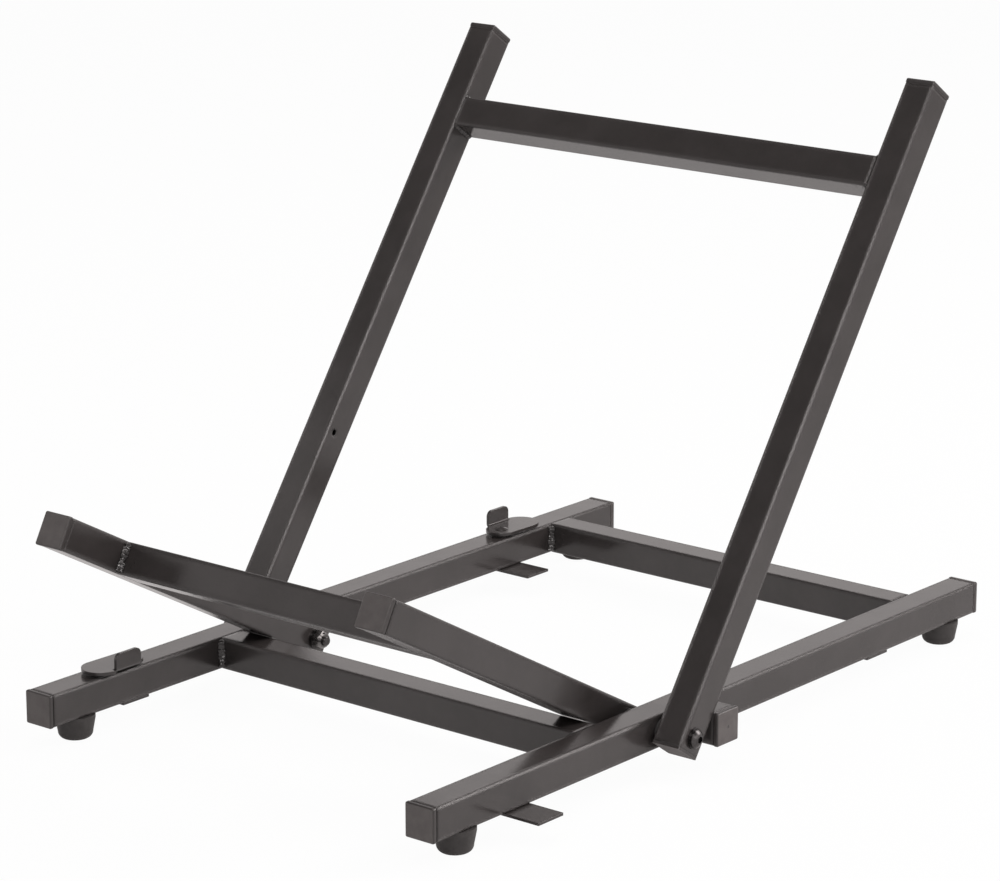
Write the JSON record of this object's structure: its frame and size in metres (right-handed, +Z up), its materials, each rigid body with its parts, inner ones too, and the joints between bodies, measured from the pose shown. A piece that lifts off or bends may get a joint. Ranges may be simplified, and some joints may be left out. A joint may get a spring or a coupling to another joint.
{
  "type": "folding amp stand",
  "caption": "Folding floor stand of square steel tube that tilts an amplifier back; the backrest folds forwards, the seat folds back, and swivel latches hold them flat.",
  "frame": {"origin": "on the floor, under the middle of the stand's overall box", "axes": "+X to the right as seen from the front, away from the latches, +Y to the rear, +Z up"},
  "size_m": [0.4732, 0.7034, 0.4804],
  "materials": {
    "frame_paint": "satin charcoal powder coat on steel tube",
    "cap_plastic": "moulded black polyethylene, fine satin",
    "foot_rubber": "matt black moulded rubber",
    "spacer_plastic": "black nylon",
    "hardware": "black-oxide steel fasteners"
  },
  "bodies": {
    "base": {"left_rail": "frame_paint", "right_rail": "frame_paint", "front_crossbar": "frame_paint", "rear_crossbar": "frame_paint", "left_stop_block": "frame_paint", "right_stop_block": "frame_paint", "left_rail_front_cap": "cap_plastic", "left_rail_rear_cap": "cap_plastic", "right_rail_front_cap": "cap_plastic", "right_rail_rear_cap": "cap_plastic", "left_block_cap": "cap_plastic", "right_block_cap": "cap_plastic", "left_front_foot": "foot_rubber", "right_front_foot": "foot_rubber", "left_rear_foot": "foot_rubber", "right_rear_foot": "foot_rubber", "foot_washers": "hardware", "foot_screws": "hardware", "left_front_catch": "frame_paint", "right_front_catch": "frame_paint", "left_rear_catch": "frame_paint", "right_rear_catch": "frame_paint", "rail_welds": "frame_paint", "block_welds": "frame_paint", "catch_welds": "frame_paint", "left_pivot_bolt": "hardware", "right_pivot_bolt": "hardware", "left_pivot_nut": "hardware", "right_pivot_nut": "hardware", "pivot_washers": "hardware", "outer_spacers": "spacer_plastic", "inner_spacers": "spacer_plastic", "latch_washers": "hardware", "latch_rivets": "frame_paint"},
    "backrest": {"left_upright": "frame_paint", "right_upright": "frame_paint", "backrest_crossbar": "frame_paint", "left_upright_cap": "cap_plastic", "right_upright_cap": "cap_plastic", "left_upright_plug": "cap_plastic", "right_upright_plug": "cap_plastic", "backrest_welds": "frame_paint"},
    "seat": {"left_seat_arm": "frame_paint", "right_seat_arm": "frame_paint", "seat_crossbar": "frame_paint", "left_arm_cap": "cap_plastic", "right_arm_cap": "cap_plastic", "left_arm_plug": "cap_plastic", "right_arm_plug": "cap_plastic", "seat_welds": "frame_paint"},
    "front_latch": {"front_latch": "frame_paint"},
    "rear_latch": {"rear_latch": "frame_paint"}
  },
  "joints": [
    {"name": "backrest_fold", "type": "hinge", "parent": "base", "child": "backrest", "pos_m": [0, -0.07511, 0.0318], "axis": [1, 0, 0], "range_deg": [0, 124.8]},
    {"name": "seat_fold", "type": "hinge", "parent": "base", "child": "seat", "pos_m": [0, -0.07511, 0.0318], "axis": [-1, 0, 0], "range_deg": [0, 151.1]},
    {"name": "front_latch_swivel", "type": "hinge", "parent": "base", "child": "front_latch", "pos_m": [-0.189, -0.24211, 0.0486], "axis": [0, 0, -1], "range_deg": [0, 90]},
    {"name": "rear_latch_swivel", "type": "hinge", "parent": "base", "child": "rear_latch", "pos_m": [-0.189, 0.21039, 0.0486], "axis": [0, 0, -1], "range_deg": [0, 90]}
  ]
}
